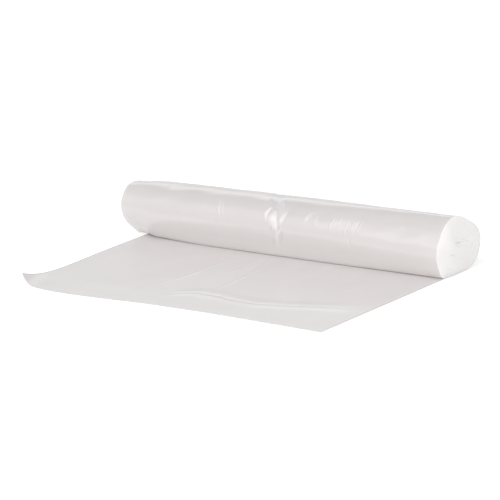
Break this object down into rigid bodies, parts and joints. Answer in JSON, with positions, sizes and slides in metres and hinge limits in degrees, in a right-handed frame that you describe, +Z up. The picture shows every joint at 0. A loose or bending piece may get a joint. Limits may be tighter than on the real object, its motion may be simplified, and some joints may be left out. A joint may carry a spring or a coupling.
{
  "type": "bin bag roll",
  "caption": "Coreless roll of folded translucent bin bags, lying on its side with the end of the first bag unrolled in front.",
  "frame": {"origin": "on the surface it rests on, under the roll's axis at mid length", "axes": "+X along the roll, +Z up, the unrolled sheet lies towards -Y"},
  "size_m": [0.3548, 0.1779, 0.043],
  "materials": {
    "film": "natural translucent blown film, satin"
  },
  "bodies": {
    "root": {"bag_roll": "film"}
  },
  "joints": []
}
